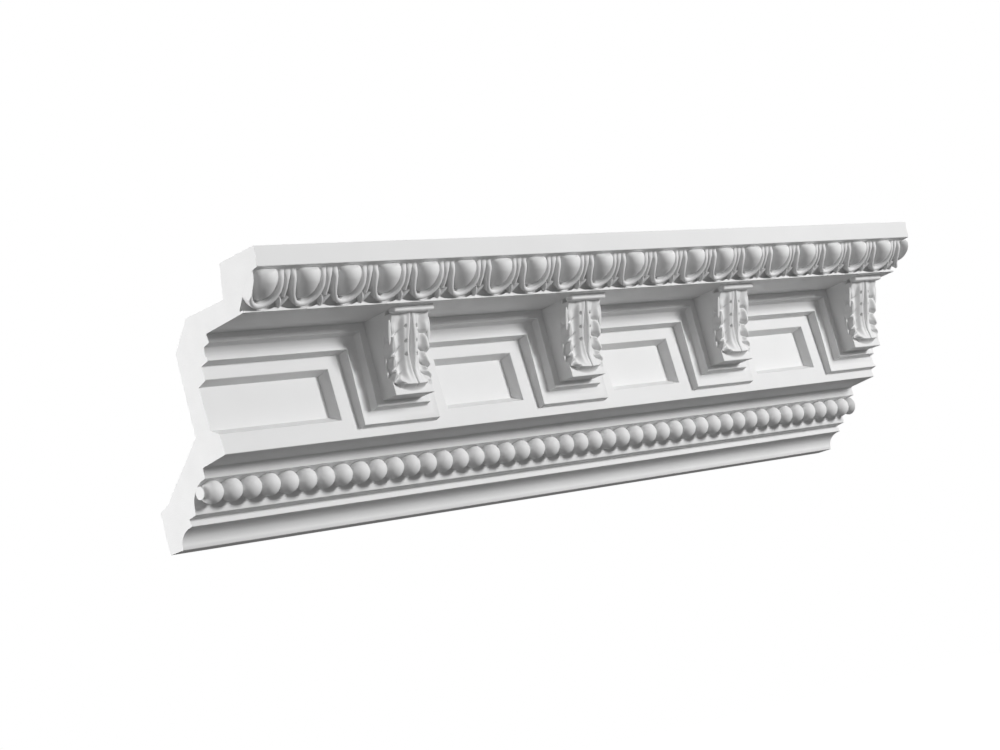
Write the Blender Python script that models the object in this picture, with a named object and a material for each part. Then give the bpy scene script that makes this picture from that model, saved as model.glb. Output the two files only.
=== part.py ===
"""Cornice moulding section with eggs and darts, leaf brackets, framed panels, beads and a cove.

One casting. X runs along the moulding, +Y goes into the wall and +Z up. The origin is the
middle of the flat face that is glued to the wall. All sizes are in metres.
"""
import math

import bmesh
import bpy
from mathutils import Vector

# Along the run
LENGTH = 0.880
BRACKET_PITCH = 0.218
FIRST_BRACKET = 0.190
EGGS_PER_PITCH = 5
BEADS_PER_PITCH = 11
END_SPARE = 0.012

# Heights of the members, from the ceiling down
FASCIA_HEIGHT = 0.0164
FASCIA_LIP_DROP = 0.0022
EGG_BED_HEIGHT = 0.0174
EGG_FILLET_HEIGHT = 0.0085
SOFFIT_FALL = 0.0028
WRAP_FILLET_HEIGHT = 0.0067
WRAP_QUIRK_FALL = 0.0016
WRAP_BAND_HEIGHT = 0.0113
WRAP_STEP_FALL = 0.0021
FRIEZE_HEIGHT = 0.0723
LOWER_SOFFIT_FALL = 0.0028
BEAD_FILLET_HEIGHT = 0.0089
BEAD_CHANNEL_HEIGHT = 0.0210
BEAD_SILL_HEIGHT = 0.0033
BASE_SOFFIT_FALL = 0.0012
BASE_FILLET_HEIGHT = 0.0063
COVE_HEIGHT = 0.0124
TOE_HEIGHT = 0.0028

# Distances that the members stand out, each measured from the one below it
TOE_OUT = 0.0171
TOE_DRAFT = 0.0009
COVE_RUN = 0.0172
BASE_FILLET_DRAFT = 0.0012
BASE_SOFFIT_RUN = 0.0091
BEAD_SILL_RUN = 0.0006
BEAD_CHANNEL_RUN = 0.0210
BEAD_FILLET_DRAFT = 0.0004
LOWER_SOFFIT_RUN = 0.0306
FRIEZE_LEAN = 0.0032
WRAP_STEP_RUN = 0.0093
WRAP_BAND_DRAFT = 0.0012
WRAP_BAND_HOLLOW = 0.0016
WRAP_QUIRK_RUN = 0.0072
WRAP_FILLET_DRAFT = 0.0009
SOFFIT_RUN = 0.0487
EGG_FILLET_DRAFT = 0.0009
EGG_BED_RUN = 0.0240
FASCIA_LIP_RUN = 0.0031
FASCIA_DRAFT = 0.0014

# Back of the casting
WALL_FACE_HEIGHT = 0.0350
CEILING_FACE_DEPTH = 0.0430
CEILING_BACK_DRAFT = 0.0060
SHELF_WALL = 0.0180
FRIEZE_WALL = 0.0180
BACK_CHAMFER = 0.0225
BACK_LEAN_DROP = 0.0454
BACK_TOE_EASE = 0.0123
BACK_TOE_RISE = 0.0046

# Sunk panels between the brackets
PANEL_DEPTH = 0.0098
PANEL_TOP_MARGIN = 0.0115
PANEL_BOTTOM_MARGIN = 0.0166
PANEL_SIDE_MARGIN = 0.0160
PANEL_DRAFT = 0.0032
PANEL_SILL_DRAFT = 0.0052

# Brackets and the moulding that wraps round them
BLOCK_WIDTH = 0.0450
BLOCK_HEIGHT = 0.0672
BLOCK_TOP_OUT = 0.0336
BLOCK_BOTTOM_OUT = 0.0170
WRAP_SIDE_MARGIN = 0.0230
WRAP_BOTTOM_MARGIN = 0.0195
BAR_OVERHANG = 0.0010
BAR_HEIGHT = 0.0050
BAR_OUT = 0.0065
BAR_DEPTH = 0.0100
BAR_EASE = 0.0012

# Leaf on each bracket
LEAF_TOP_GAP = 0.0016
LEAF_BOTTOM_GAP = 0.0024
LEAF_OVERHANG = 0.0016
LEAF_TIP_HALF_WIDTH = 0.0150
LEAF_THICKNESS = 0.0034
LEAF_RIB_RISE = 0.0017
LEAF_TIP_CURL = 0.0036
LEAF_EDGE_FALL = 0.0054
LEAF_NOTCH = 0.0048
LEAF_LOBES = 4

# Places on the leaf, as shares of its length from the root and of its half width
LEAF_LOBED_SHARE = 0.86
LEAF_TAPER_SHARE = 0.62
LEAF_ROUND_SHARE = 0.90
LEAF_TIP_ROUNDING = 0.8
LEAF_CURL_SHARE = 0.72
LEAF_RIB_PLACE = 0.16
LEAF_LOBE_PLACE = 0.58
LEAF_EDGE_PLACE = 0.82

# Eggs, rims and darts
CARVING_SET = 0.0014
CARVING_LIFT = 0.0007
CARVING_START = 0.0005
EGG_HALF_WIDTH = 0.0122
EGG_HALF_LENGTH = 0.0150
EGG_MIDDLE = 0.0118
EGG_RISE = 0.0066
RIM_HALF_WIDTH = 0.0166
RIM_THICKNESS = 0.0032
RIM_STRAIGHT = 0.0125
RIM_RISE = 0.0029
RIM_RISE_SKEW = 1.6
RIM_BOTTOM_GAP = 0.0012
DART_TOP_WIDTH = 0.0072
DART_NECK_WIDTH = 0.0026
DART_BARB_WIDTH = 0.0066
DART_NECK_START = 0.0070
DART_SHOULDER_PARTS = 3
DART_BARB_START = 0.0190
DART_BARB_END = 0.0215
DART_POINT = 0.0290
DART_RISE = 0.0022

# Beads
BEAD_RADIUS = 0.0100
BEAD_OVERLAP = 0.0004

# Facets: bead rings as shares of the pitch, angles in degrees
BEAD_RING_PLACES = (-0.5, -0.34, 0.0, 0.34)
BEAD_FRONT_ANGLES = (-75, -22, 30, 80, 125)
LEAF_LOBE_RINGS = (0.0, 0.3, 0.8)
EGG_RING_PLACES = (-0.74, -0.28, 0.3, 0.75, 0.97)
EGG_SIDES = 5
RIM_STEP_ANGLE = 36
CHANNEL_STEPS = 2
COVE_STEPS = 4
FLAT_ANGLE = 0.4

# How far a piece is sunk in what carries it
BURY = 0.0040

BODY_NAME = "cornice_moulding"


def running_totals(steps, start=0.0):
    """List the running total after each step."""
    totals = []
    for step in steps:
        start += step
        totals.append(start)
    return totals


# Levels below the ceiling, from the heights
(FASCIA_END, LIP_END, BED_END, EGG_FILLET_END, SOFFIT_END, WRAP_FILLET_END, QUIRK_END,
 BAND_END, WRAP_FOOT, FRIEZE_END, LOWER_SOFFIT_END, BEAD_FILLET_END, CHANNEL_END,
 SILL_END, BASE_SOFFIT_END, BASE_FILLET_END, COVE_END, HEIGHT) = running_totals((
     FASCIA_HEIGHT, FASCIA_LIP_DROP, EGG_BED_HEIGHT, EGG_FILLET_HEIGHT, SOFFIT_FALL,
     WRAP_FILLET_HEIGHT, WRAP_QUIRK_FALL, WRAP_BAND_HEIGHT, WRAP_STEP_FALL, FRIEZE_HEIGHT,
     LOWER_SOFFIT_FALL, BEAD_FILLET_HEIGHT, BEAD_CHANNEL_HEIGHT, BEAD_SILL_HEIGHT,
     BASE_SOFFIT_FALL, BASE_FILLET_HEIGHT, COVE_HEIGHT, TOE_HEIGHT))

# Distances out from the wall, from the runs
(TOE_TOP_OUT, BASE_FOOT_OUT, BASE_TOP_OUT, SILL_OUT, CHANNEL_OUT, BEAD_FILLET_OUT,
 BEAD_FILLET_TOP_OUT, FRIEZE_FOOT_OUT, FRIEZE_OUT, BAND_OUT, QUIRK_OUT, WRAP_OUT,
 SOFFIT_BACK_OUT, SOFFIT_OUT, BED_FOOT_OUT, BED_OUT, LIP_OUT, OUT) = running_totals((
     TOE_DRAFT, COVE_RUN, -BASE_FILLET_DRAFT, BASE_SOFFIT_RUN, BEAD_SILL_RUN,
     BEAD_CHANNEL_RUN, BEAD_FILLET_DRAFT, LOWER_SOFFIT_RUN, -FRIEZE_LEAN, WRAP_STEP_RUN,
     -WRAP_BAND_DRAFT, WRAP_QUIRK_RUN, -WRAP_FILLET_DRAFT, SOFFIT_RUN, EGG_FILLET_DRAFT,
     EGG_BED_RUN, FASCIA_LIP_RUN, FASCIA_DRAFT), start=TOE_OUT)

TOP_LEVEL = HEIGHT - WALL_FACE_HEIGHT / 2


def place(along, out, drop):
    """Turn a distance from the left end, one out from the wall and one below the ceiling to a point."""
    return Vector((along - LENGTH / 2, -out, TOP_LEVEL - drop))


def frieze_out(drop):
    """Tell how far the leaning frieze stands out at a level."""
    return FRIEZE_OUT + FRIEZE_LEAN * (drop - WRAP_FOOT) / FRIEZE_HEIGHT


def hollow(start, end, steps):
    """List the points between two (out, drop) corners of a hollow quarter ellipse."""
    run = start[0] - end[0]
    height = end[1] - start[1]
    points = []
    for step in range(1, steps):
        turn = math.pi / 2 * (1 - step / steps)
        points.append((start[0] - run * math.cos(turn), end[1] - height * math.sin(turn)))
    return points


def body_outline():
    """List the (out, drop) corners of the plain run, without the wrap moulding."""
    channel_top = (BEAD_FILLET_OUT, BEAD_FILLET_END)
    channel_foot = (CHANNEL_OUT, CHANNEL_END)
    cove_top = (BASE_FOOT_OUT, BASE_FILLET_END)
    cove_foot = (TOE_TOP_OUT, COVE_END)
    soffit_slope = SOFFIT_FALL / SOFFIT_RUN
    frieze_top = SOFFIT_END + soffit_slope * (SOFFIT_BACK_OUT - FRIEZE_OUT)
    front = [
        (OUT, 0.0),
        (LIP_OUT, FASCIA_END),
        (BED_OUT, LIP_END),
        (BED_FOOT_OUT, BED_END),
        (SOFFIT_OUT, EGG_FILLET_END),
        (frieze_out(frieze_top), frieze_top),
        (FRIEZE_FOOT_OUT, FRIEZE_END),
        (BEAD_FILLET_TOP_OUT, LOWER_SOFFIT_END),
        channel_top,
        *hollow(channel_top, channel_foot, CHANNEL_STEPS),
        channel_foot,
        (SILL_OUT, SILL_END),
        (BASE_TOP_OUT, BASE_SOFFIT_END),
        cove_top,
        *hollow(cove_top, cove_foot, COVE_STEPS),
        cove_foot,
        (TOE_OUT, HEIGHT),
    ]
    shelf_drop = EGG_FILLET_END + SOFFIT_FALL / 2 - SHELF_WALL
    back_out = FRIEZE_OUT - PANEL_DEPTH - FRIEZE_WALL
    back_foot = HEIGHT - WALL_FACE_HEIGHT - BACK_LEAN_DROP
    ceiling_back = OUT - CEILING_FACE_DEPTH
    back = [
        (0.0, HEIGHT),
        (0.0, HEIGHT - WALL_FACE_HEIGHT),
        (BACK_TOE_EASE, HEIGHT - WALL_FACE_HEIGHT - BACK_TOE_RISE),
        (back_out, back_foot),
        (back_out, shelf_drop + BACK_CHAMFER),
        (back_out + BACK_CHAMFER, shelf_drop),
        (ceiling_back - CEILING_BACK_DRAFT, shelf_drop),
        (ceiling_back, 0.0),
    ]
    return front + back


def add_loft(mesh, rings, triangulate=False):
    """Add a closed solid through rings of points to a bmesh."""
    loops = [[mesh.verts.new(point) for point in ring] for ring in rings]
    faces = [mesh.faces.new(loops[0]), mesh.faces.new(list(reversed(loops[-1])))]
    for near, far in zip(loops, loops[1:]):
        for index in range(len(near)):
            after = (index + 1) % len(near)
            faces.append(mesh.faces.new((near[after], near[index], far[index], far[after])))
    bmesh.ops.recalc_face_normals(mesh, faces=faces)
    if triangulate:
        bmesh.ops.triangulate(mesh, faces=faces)


def make_object(name, mesh):
    """Turn a bmesh into a named object of the scene."""
    data = bpy.data.meshes.new(name)
    mesh.to_mesh(data)
    mesh.free()
    thing = bpy.data.objects.new(name, data)
    bpy.context.scene.collection.objects.link(thing)
    return thing


def make_tool(name, lofts, triangulate=False):
    """Make one hidden Boolean operand from lofts that don't touch each other."""
    mesh = bmesh.new()
    for rings in lofts:
        add_loft(mesh, rings, triangulate)
    tool = make_object(name, mesh)
    tool.hide_render = True
    tool.display_type = 'WIRE'
    return tool


def apply_tool(body, tool, operation):
    """Give the body a Boolean modifier with a tool."""
    modifier = body.modifiers.new(tool.name, 'BOOLEAN')
    modifier.operation = operation
    modifier.solver = 'EXACT'
    modifier.object = tool


def bracket_centres():
    """List the distances of the bracket centres from the left end."""
    room = LENGTH - BLOCK_WIDTH / 2 - FIRST_BRACKET
    count = max(1, int(room / BRACKET_PITCH) + 1)
    return [FIRST_BRACKET + BRACKET_PITCH * index for index in range(count)]


def repeat_centres(pitch, phase):
    """List the places of a small repeat that covers the run and a little more."""
    first = math.floor((-END_SPARE - phase) / pitch)
    last = math.ceil((LENGTH + END_SPARE - phase) / pitch)
    return [phase + pitch * index for index in range(first, last + 1)]


def body_rings():
    """Give the plain run as two end rings."""
    outline = body_outline()
    ends = (-END_SPARE, LENGTH + END_SPARE)
    return [[place(end, out, drop) for out, drop in outline] for end in ends]


def wrap_section():
    """List (inset, out) points of the moulding round the brackets, from its foot inwards."""
    band_edge = WRAP_STEP_FALL
    quirk = band_edge + WRAP_BAND_HEIGHT
    fillet = quirk + WRAP_QUIRK_FALL
    inner = fillet + WRAP_FILLET_HEIGHT + BURY
    sunk = FRIEZE_OUT - BURY
    slope = WRAP_STEP_FALL / WRAP_STEP_RUN
    middle = (BAND_OUT + QUIRK_OUT) / 2 - WRAP_BAND_HOLLOW
    return [
        (-slope * BURY, sunk),
        (band_edge, BAND_OUT),
        ((band_edge + quirk) / 2, middle),
        (quirk, QUIRK_OUT),
        (fillet, WRAP_OUT),
        (inner, WRAP_OUT - WRAP_FILLET_DRAFT),
        (inner, sunk),
    ]


def wrap_rings():
    """Run the wrap moulding under the soffit and round each bracket, mitred at its corners."""
    half = BLOCK_WIDTH / 2 + WRAP_SIDE_MARGIN
    low = SOFFIT_END + BLOCK_HEIGHT + WRAP_BOTTOM_MARGIN
    corners = [(-END_SPARE, WRAP_FOOT, 0)]
    for centre in bracket_centres():
        corners.append((centre - half, WRAP_FOOT, 1))
        corners.append((centre - half, low, 1))
        corners.append((centre + half, low, -1))
        corners.append((centre + half, WRAP_FOOT, -1))
    last = max(corners[-1][0] + WRAP_SIDE_MARGIN, LENGTH + END_SPARE)
    corners.append((last, WRAP_FOOT, 0))
    section = wrap_section()
    rings = []
    for along, drop, side in corners:
        rings.append([place(along + side * inset, out, drop - inset) for inset, out in section])
    return rings


def block_line(drop):
    """Tell how far a bracket's raked front stands out at a level."""
    top = WRAP_OUT + BLOCK_TOP_OUT
    foot = WRAP_OUT + BLOCK_BOTTOM_OUT
    return top + (foot - top) * (drop - SOFFIT_END) / BLOCK_HEIGHT


def slab(left, right, corners):
    """Give the rings of a solid with one (out, drop) outline between two places along the run."""
    return [[place(along, out, drop) for out, drop in corners] for along in (left, right)]


def block_rings(centre):
    """Give a bracket's plain raked block."""
    top = EGG_FILLET_END - BURY
    foot = SOFFIT_END + BLOCK_HEIGHT
    back = FRIEZE_OUT - BURY
    corners = [(block_line(top), top), (block_line(foot), foot), (back, foot), (back, top)]
    return slab(centre - BLOCK_WIDTH / 2, centre + BLOCK_WIDTH / 2, corners)


def bar_rings(centre):
    """Give the small bar between a bracket's leaf and the soffit."""
    half = BLOCK_WIDTH / 2 + BAR_OVERHANG
    front = block_line(EGG_FILLET_END) + BAR_OUT
    top = EGG_FILLET_END - BURY
    foot = EGG_FILLET_END + BAR_HEIGHT
    back = front - BAR_DEPTH
    corners = [
        (front, top),
        (front, foot - BAR_EASE),
        (front - BAR_EASE, foot),
        (back, foot),
        (back, top),
    ]
    return slab(centre - half, centre + half, corners)


def leaf_half_width(share):
    """Tell a leaf's half width at a share of its length, with a notch between its lobes."""
    wide = BLOCK_WIDTH / 2 + LEAF_OVERHANG
    taper = max(0.0, (share - LEAF_TAPER_SHARE) / (1 - LEAF_TAPER_SHARE))
    half = wide + (LEAF_TIP_HALF_WIDTH - wide) * taper
    if share < LEAF_LOBED_SHARE:
        lobe = share / LEAF_LOBED_SHARE * LEAF_LOBES % 1.0
        return half - LEAF_NOTCH * (1 - math.sqrt(math.sin(math.pi * lobe)))
    tip = max(0.0, (share - LEAF_ROUND_SHARE) / (1 - LEAF_ROUND_SHARE))
    return half * math.sqrt(1 - LEAF_TIP_ROUNDING * tip ** 2)


def leaf_height(across, share):
    """Tell how high a leaf stands on the block, across from -1 to 1 and down from 0 to 1."""
    side = abs(across)
    height = LEAF_THICKNESS
    if side == LEAF_RIB_PLACE:
        height += LEAF_RIB_RISE
    if side > LEAF_EDGE_PLACE and share < LEAF_LOBED_SHARE:
        height -= LEAF_EDGE_FALL
    curl = max(0.0, (share - LEAF_CURL_SHARE) / (1 - LEAF_CURL_SHARE))
    return height + LEAF_TIP_CURL * curl ** 2


def leaf_rings(centre):
    """Give a bracket's leaf as sections from its root down to its curled tip."""
    top = EGG_FILLET_END + BAR_HEIGHT + LEAF_TOP_GAP - BURY / 2
    foot = SOFFIT_END + BLOCK_HEIGHT - LEAF_BOTTOM_GAP
    lobe_length = LEAF_LOBED_SHARE / LEAF_LOBES
    shares = []
    for lobe in range(LEAF_LOBES):
        shares.extend(lobe_length * (lobe + part) for part in LEAF_LOBE_RINGS)
    shares.extend((LEAF_LOBED_SHARE, (1 + LEAF_ROUND_SHARE) / 2, 1.0))
    half_places = (0.0, LEAF_RIB_PLACE, LEAF_LOBE_PLACE, LEAF_EDGE_PLACE, 1.0)
    places = [-place_across for place_across in half_places[:0:-1]] + list(half_places)
    rings = []
    for share in shares:
        drop = top + (foot - top) * share
        half = leaf_half_width(share)
        ring = []
        for across in places:
            out = block_line(drop) + leaf_height(across, share)
            ring.append(place(centre + across * half, out, drop))
        for side in (1, -1):
            back = side * LEAF_EDGE_PLACE * half
            ring.append(place(centre + back, block_line(drop) - BURY, drop))
        rings.append(ring)
    return rings


def panel_rings(left, right):
    """Give the cutter of a sunk panel with sloping sides, between two places along the run."""
    top = WRAP_FOOT + PANEL_TOP_MARGIN
    foot = FRIEZE_END - PANEL_BOTTOM_MARGIN
    rings = []
    for depth in (-1.0, 1.0):
        side = PANEL_DRAFT * depth
        sill = PANEL_SILL_DRAFT * depth
        rings.append([
            place(left + side, frieze_out(top) - PANEL_DEPTH * depth, top + side),
            place(right - side, frieze_out(top) - PANEL_DEPTH * depth, top + side),
            place(right - side, frieze_out(foot) - PANEL_DEPTH * depth, foot - sill),
            place(left + side, frieze_out(foot) - PANEL_DEPTH * depth, foot - sill),
        ])
    return rings


def panel_spans():
    """List where each sunk panel starts and ends, with the first one open at the left end."""
    margin = BLOCK_WIDTH / 2 + WRAP_SIDE_MARGIN + PANEL_SIDE_MARGIN
    centres = bracket_centres()
    spans = [(-2 * END_SPARE, centres[0] - margin)]
    for near, far in zip(centres, centres[1:]):
        spans.append((near + margin, far - margin))
    if centres[-1] + margin < LENGTH - PANEL_SIDE_MARGIN:
        spans.append((centres[-1] + margin, LENGTH + 2 * END_SPARE))
    return spans


# The eggs lie on a slope from under the lip to the foot of the egg fillet
SLOPE_TOP = Vector((BED_OUT - CARVING_SET, LIP_END))
SLOPE_FOOT = Vector((SOFFIT_OUT + CARVING_SET, EGG_FILLET_END - CARVING_LIFT))
SLOPE_LENGTH = (SLOPE_FOOT - SLOPE_TOP).length
SLOPE_DOWN = (SLOPE_FOOT - SLOPE_TOP) / SLOPE_LENGTH
SLOPE_FRONT = Vector((SLOPE_DOWN[1], -SLOPE_DOWN[0]))
BED_FALL = Vector((BED_FOOT_OUT, BED_END)) - SLOPE_TOP


def on_slope(along, down, rise):
    """Turn a place on the egg slope, and a rise square to it, to a point."""
    spot = SLOPE_TOP + SLOPE_DOWN * down + SLOPE_FRONT * rise
    return place(along, spot[0], spot[1])


def slope_ground(down):
    """Tell how far the hollow bed lies under the egg slope."""
    return BED_FALL.dot(SLOPE_FRONT) * down / BED_FALL.dot(SLOPE_DOWN)


def slope_bulge(down):
    """Tell how far rims and darts bulge over the straight slope, most in its lower half."""
    share = min(1.0, down / SLOPE_LENGTH)
    return RIM_RISE * math.sin(math.pi * share ** RIM_RISE_SKEW)


def egg_rings(centre):
    """Give an egg as round-backed sections down the slope."""
    rings = []
    for share in EGG_RING_PLACES:
        down = EGG_MIDDLE + EGG_HALF_LENGTH * share
        size = math.sqrt(1 - share ** 2)
        ground = slope_ground(down)
        ring = []
        for step in range(EGG_SIDES + 1):
            turn = math.pi * step / EGG_SIDES
            rise = ground + (EGG_RISE - ground) * size * math.sin(turn)
            ring.append(on_slope(centre + EGG_HALF_WIDTH * size * math.cos(turn), down, rise))
        for side in (-1, 1):
            ring.append(on_slope(centre + side * EGG_HALF_WIDTH * size, down, ground - BURY))
        rings.append(ring)
    return rings


def rim_rings(centre):
    """Give the raised rim that runs down both sides of an egg and round under it."""
    foot = SLOPE_LENGTH - RIM_BOTTOM_GAP - RIM_THICKNESS / 2
    deep = foot - RIM_STRAIGHT
    path = [(CARVING_START, 0)]
    path.extend((RIM_STRAIGHT, turn) for turn in range(0, 181, RIM_STEP_ANGLE))
    path.append((CARVING_START, 180))
    rings = []
    for straight, degrees in path:
        turn = math.radians(degrees)
        ring = []
        for reach, floor in ((0.5, False), (0.5, True), (-0.5, True), (-0.5, False)):
            wide = RIM_HALF_WIDTH + RIM_THICKNESS * reach
            long = deep + RIM_THICKNESS * reach
            down = straight + long * math.sin(turn)
            rise = slope_ground(down) - BURY if floor else slope_bulge(down)
            ring.append(on_slope(centre - wide * math.cos(turn), down, rise))
        rings.append(ring)
    return rings


def dart_rings(centre):
    """Give the barbed dart that stands between two rims."""
    widths = (
        (CARVING_START, DART_TOP_WIDTH),
        (DART_NECK_START, (DART_TOP_WIDTH + DART_NECK_WIDTH) / DART_SHOULDER_PARTS),
        (DART_BARB_START, DART_NECK_WIDTH),
        (DART_BARB_END, DART_BARB_WIDTH),
        (DART_POINT, DART_NECK_WIDTH / 2),
    )
    rings = []
    for down, width in widths:
        ground = slope_ground(down)
        top = slope_bulge(down)
        rings.append([
            on_slope(centre - width / 2, down, ground - BURY),
            on_slope(centre - width / 2, down, top - DART_RISE / 2),
            on_slope(centre, down, top + DART_RISE / 2),
            on_slope(centre + width / 2, down, top - DART_RISE / 2),
            on_slope(centre + width / 2, down, ground - BURY),
        ])
    return rings


def bead_rings():
    """Give the string of beads as one solid whose back is sunk in the channel."""
    pitch = BRACKET_PITCH / BEADS_PER_PITCH
    reach = pitch / 2 + BEAD_OVERLAP
    out = (BEAD_FILLET_OUT + CHANNEL_OUT) / 2
    drop = (BEAD_FILLET_END + CHANNEL_END) / 2
    back = CHANNEL_OUT - BURY
    rings = []
    for centre in repeat_centres(pitch, pitch / 2):
        for share in BEAD_RING_PLACES:
            along = centre + share * pitch
            size = math.sqrt(1 - (share * pitch / reach) ** 2)
            ring = []
            for degrees in BEAD_FRONT_ANGLES:
                turn = math.radians(degrees)
                ring.append(place(along, out + BEAD_RADIUS * size * math.cos(turn),
                                  drop + BEAD_RADIUS * size * math.sin(turn)))
            for side in (1, -1):
                ring.append(place(along, back, drop + side * BEAD_RADIUS * size / 2))
            rings.append(ring)
    return rings


def ends_box():
    """Give the box that cuts both ends square."""
    top = -END_SPARE
    foot = HEIGHT + END_SPARE
    corners = [(-END_SPARE, top), (OUT + END_SPARE, top), (OUT + END_SPARE, foot), (-END_SPARE, foot)]
    return slab(0.0, LENGTH, corners)


def white_foam():
    """Make the primed white foam material."""
    material = bpy.data.materials.new("white_foam")
    material.use_nodes = True
    shader = material.node_tree.nodes["Principled BSDF"]
    shader.inputs["Base Color"].default_value = (0.86, 0.86, 0.86, 1.0)
    shader.inputs["Roughness"].default_value = 0.62
    shader.inputs["Metallic"].default_value = 0.0
    return material


def build():
    """Build the whole casting from its run, cutters and carving."""
    for thing in list(bpy.data.objects):
        bpy.data.objects.remove(thing, do_unlink=True)
    mesh = bmesh.new()
    add_loft(mesh, body_rings())
    body = make_object(BODY_NAME, mesh)
    body.data.materials.append(white_foam())
    centres = bracket_centres()
    eggs = repeat_centres(BRACKET_PITCH / EGGS_PER_PITCH, FIRST_BRACKET)
    half_egg = BRACKET_PITCH / EGGS_PER_PITCH / 2
    apply_tool(body, make_tool("wrap_moulding", [wrap_rings()]), 'UNION')
    panels = [panel_rings(left, right) for left, right in panel_spans()]
    apply_tool(body, make_tool("panel_sinking", panels), 'DIFFERENCE')
    apply_tool(body, make_tool("bracket_blocks", [block_rings(c) for c in centres]), 'UNION')
    apply_tool(body, make_tool("bracket_bars", [bar_rings(c) for c in centres]), 'UNION')
    leaves = [leaf_rings(c) for c in centres]
    apply_tool(body, make_tool("bracket_leaves", leaves, True), 'UNION')
    apply_tool(body, make_tool("eggs", [egg_rings(c) for c in eggs], True), 'UNION')
    apply_tool(body, make_tool("egg_rims", [rim_rings(c) for c in eggs], True), 'UNION')
    darts = [dart_rings(c + half_egg) for c in eggs]
    apply_tool(body, make_tool("egg_darts", darts, True), 'UNION')
    apply_tool(body, make_tool("bead_string", [bead_rings()]), 'UNION')
    apply_tool(body, make_tool("square_ends", [ends_box()]), 'INTERSECT')
    flatten = body.modifiers.new("join_flat_faces", 'DECIMATE')
    flatten.decimate_type = 'DISSOLVE'
    flatten.angle_limit = math.radians(FLAT_ANGLE)


build()
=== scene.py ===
"""Looks of a white foam cornice moulding section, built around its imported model.

X runs along the moulding, +Y goes into the wall and +Z up, all in metres. A place on the
moulding is given as (along, out, drop): from the left end, out from the wall and down from
the ceiling.
"""
from __future__ import annotations

import logging
import math
from dataclasses import dataclass, field
from enum import Enum

import bmesh
import bpy
from mathutils import Matrix, Vector


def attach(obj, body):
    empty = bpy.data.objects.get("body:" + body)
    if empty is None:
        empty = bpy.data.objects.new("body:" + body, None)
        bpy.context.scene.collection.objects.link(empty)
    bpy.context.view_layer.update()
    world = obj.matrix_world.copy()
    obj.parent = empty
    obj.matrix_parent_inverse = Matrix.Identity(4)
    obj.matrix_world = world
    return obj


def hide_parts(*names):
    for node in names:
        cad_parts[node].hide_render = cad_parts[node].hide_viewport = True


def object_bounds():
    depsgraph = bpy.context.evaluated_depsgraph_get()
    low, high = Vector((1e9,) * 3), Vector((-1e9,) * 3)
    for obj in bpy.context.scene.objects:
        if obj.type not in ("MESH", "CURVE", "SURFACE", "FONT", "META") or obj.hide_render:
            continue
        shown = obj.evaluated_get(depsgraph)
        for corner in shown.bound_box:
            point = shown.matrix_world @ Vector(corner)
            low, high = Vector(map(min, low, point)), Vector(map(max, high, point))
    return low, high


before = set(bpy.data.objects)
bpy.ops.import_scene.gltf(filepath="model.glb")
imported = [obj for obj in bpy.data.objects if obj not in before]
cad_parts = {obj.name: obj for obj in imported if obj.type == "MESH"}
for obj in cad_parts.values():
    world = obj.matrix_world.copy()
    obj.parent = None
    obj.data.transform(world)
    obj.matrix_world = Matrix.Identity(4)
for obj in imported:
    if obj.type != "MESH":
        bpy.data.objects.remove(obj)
CAD_LOW, CAD_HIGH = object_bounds()
LENGTH = CAD_HIGH.x - CAD_LOW.x
NODE = "cornice_moulding"
SMOOTH_ANGLE = math.radians(38)
BRACKET_PITCH = 0.218
FIRST_BRACKET = 0.190
BLOCK_WIDTH = 0.045
BLOCK_HEIGHT = 0.0672
WHITE = (1.0, 1.0, 1.0, 1.0)

# Corners nearer than SMALL are one corner, and one nearer a cut than ON_PLANE lies on it. Parts run
# SPARE past the moulding's ends, are cut off SQUARE_RECESS inside them, and are rooted BURY deep in
# what they stand on. ARRIS is the rounding of the edges, in ROUND_FACETS facets.
SMALL = 1e-5
ON_PLANE = 1e-7
SPARE = 0.012
SQUARE_RECESS = 0.00005
BURY = 0.004
ARRIS = 0.0007
ROUND_FACETS = 3

Mesh = bmesh.types.BMesh
Piece = bpy.types.Object
Pair = tuple[float, float]
Triple = tuple[float, float, float]

log = logging.getLogger("cornice")


class Line(Enum):
    """How a member of the section runs from its top corner to its foot."""

    FLAT = "flat"
    HOLLOW = "hollow"


class Joining(Enum):
    """How one solid is joined to another."""

    ADD = "UNION"
    SINK = "DIFFERENCE"


class Side(Enum):
    """A side of something, as seen from the room."""

    LEFT = -1
    RIGHT = 1


def place(along: float, out: float, drop: float) -> Vector:
    """Turn a place on the moulding to a point of the frame."""
    return Vector((CAD_LOW.x + along, -out, CAD_HIGH.z - drop))


def ease(low: float, high: float, value: float) -> float:
    """Rise smoothly from 0 at low to 1 at high."""
    share = min(1.0, max(0.0, (value - low) / (high - low)))
    return share * share * (3 - 2 * share)


def blend(near: float, far: float, share: float) -> float:
    """Mix two numbers."""
    return near + (far - near) * share


def sweep(mesh: Mesh, rings: list[list[Vector]]) -> None:
    """Run a closed section through several places, by extruding its face to each in turn.

    Args:
        mesh: the bmesh that gets the solid.
        rings: the section's corners at each place, all in the same order.
    """
    cap = mesh.faces.new([mesh.verts.new(point) for point in rings[0]])
    for step, ring in enumerate(rings[1:]):
        grown = bmesh.ops.extrude_face_region(mesh, geom=[cap])["geom"]
        if step > 0:
            bmesh.ops.delete(mesh, geom=[cap], context="FACES_ONLY")
        cap = next(part for part in grown if isinstance(part, bmesh.types.BMFace))
        for vert, point in zip(cap.verts, ring):
            vert.co = point


def gather(parts: list[Mesh]) -> Mesh:
    """Put several bmeshes in one and free them.

    Args:
        parts: the bmeshes.

    Returns:
        The new bmesh.
    """
    whole = bmesh.new()
    for part in parts:
        spare = bpy.data.meshes.new("part")
        part.to_mesh(spare)
        part.free()
        whole.from_mesh(spare)
        bpy.data.meshes.remove(spare)
    return whole


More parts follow.
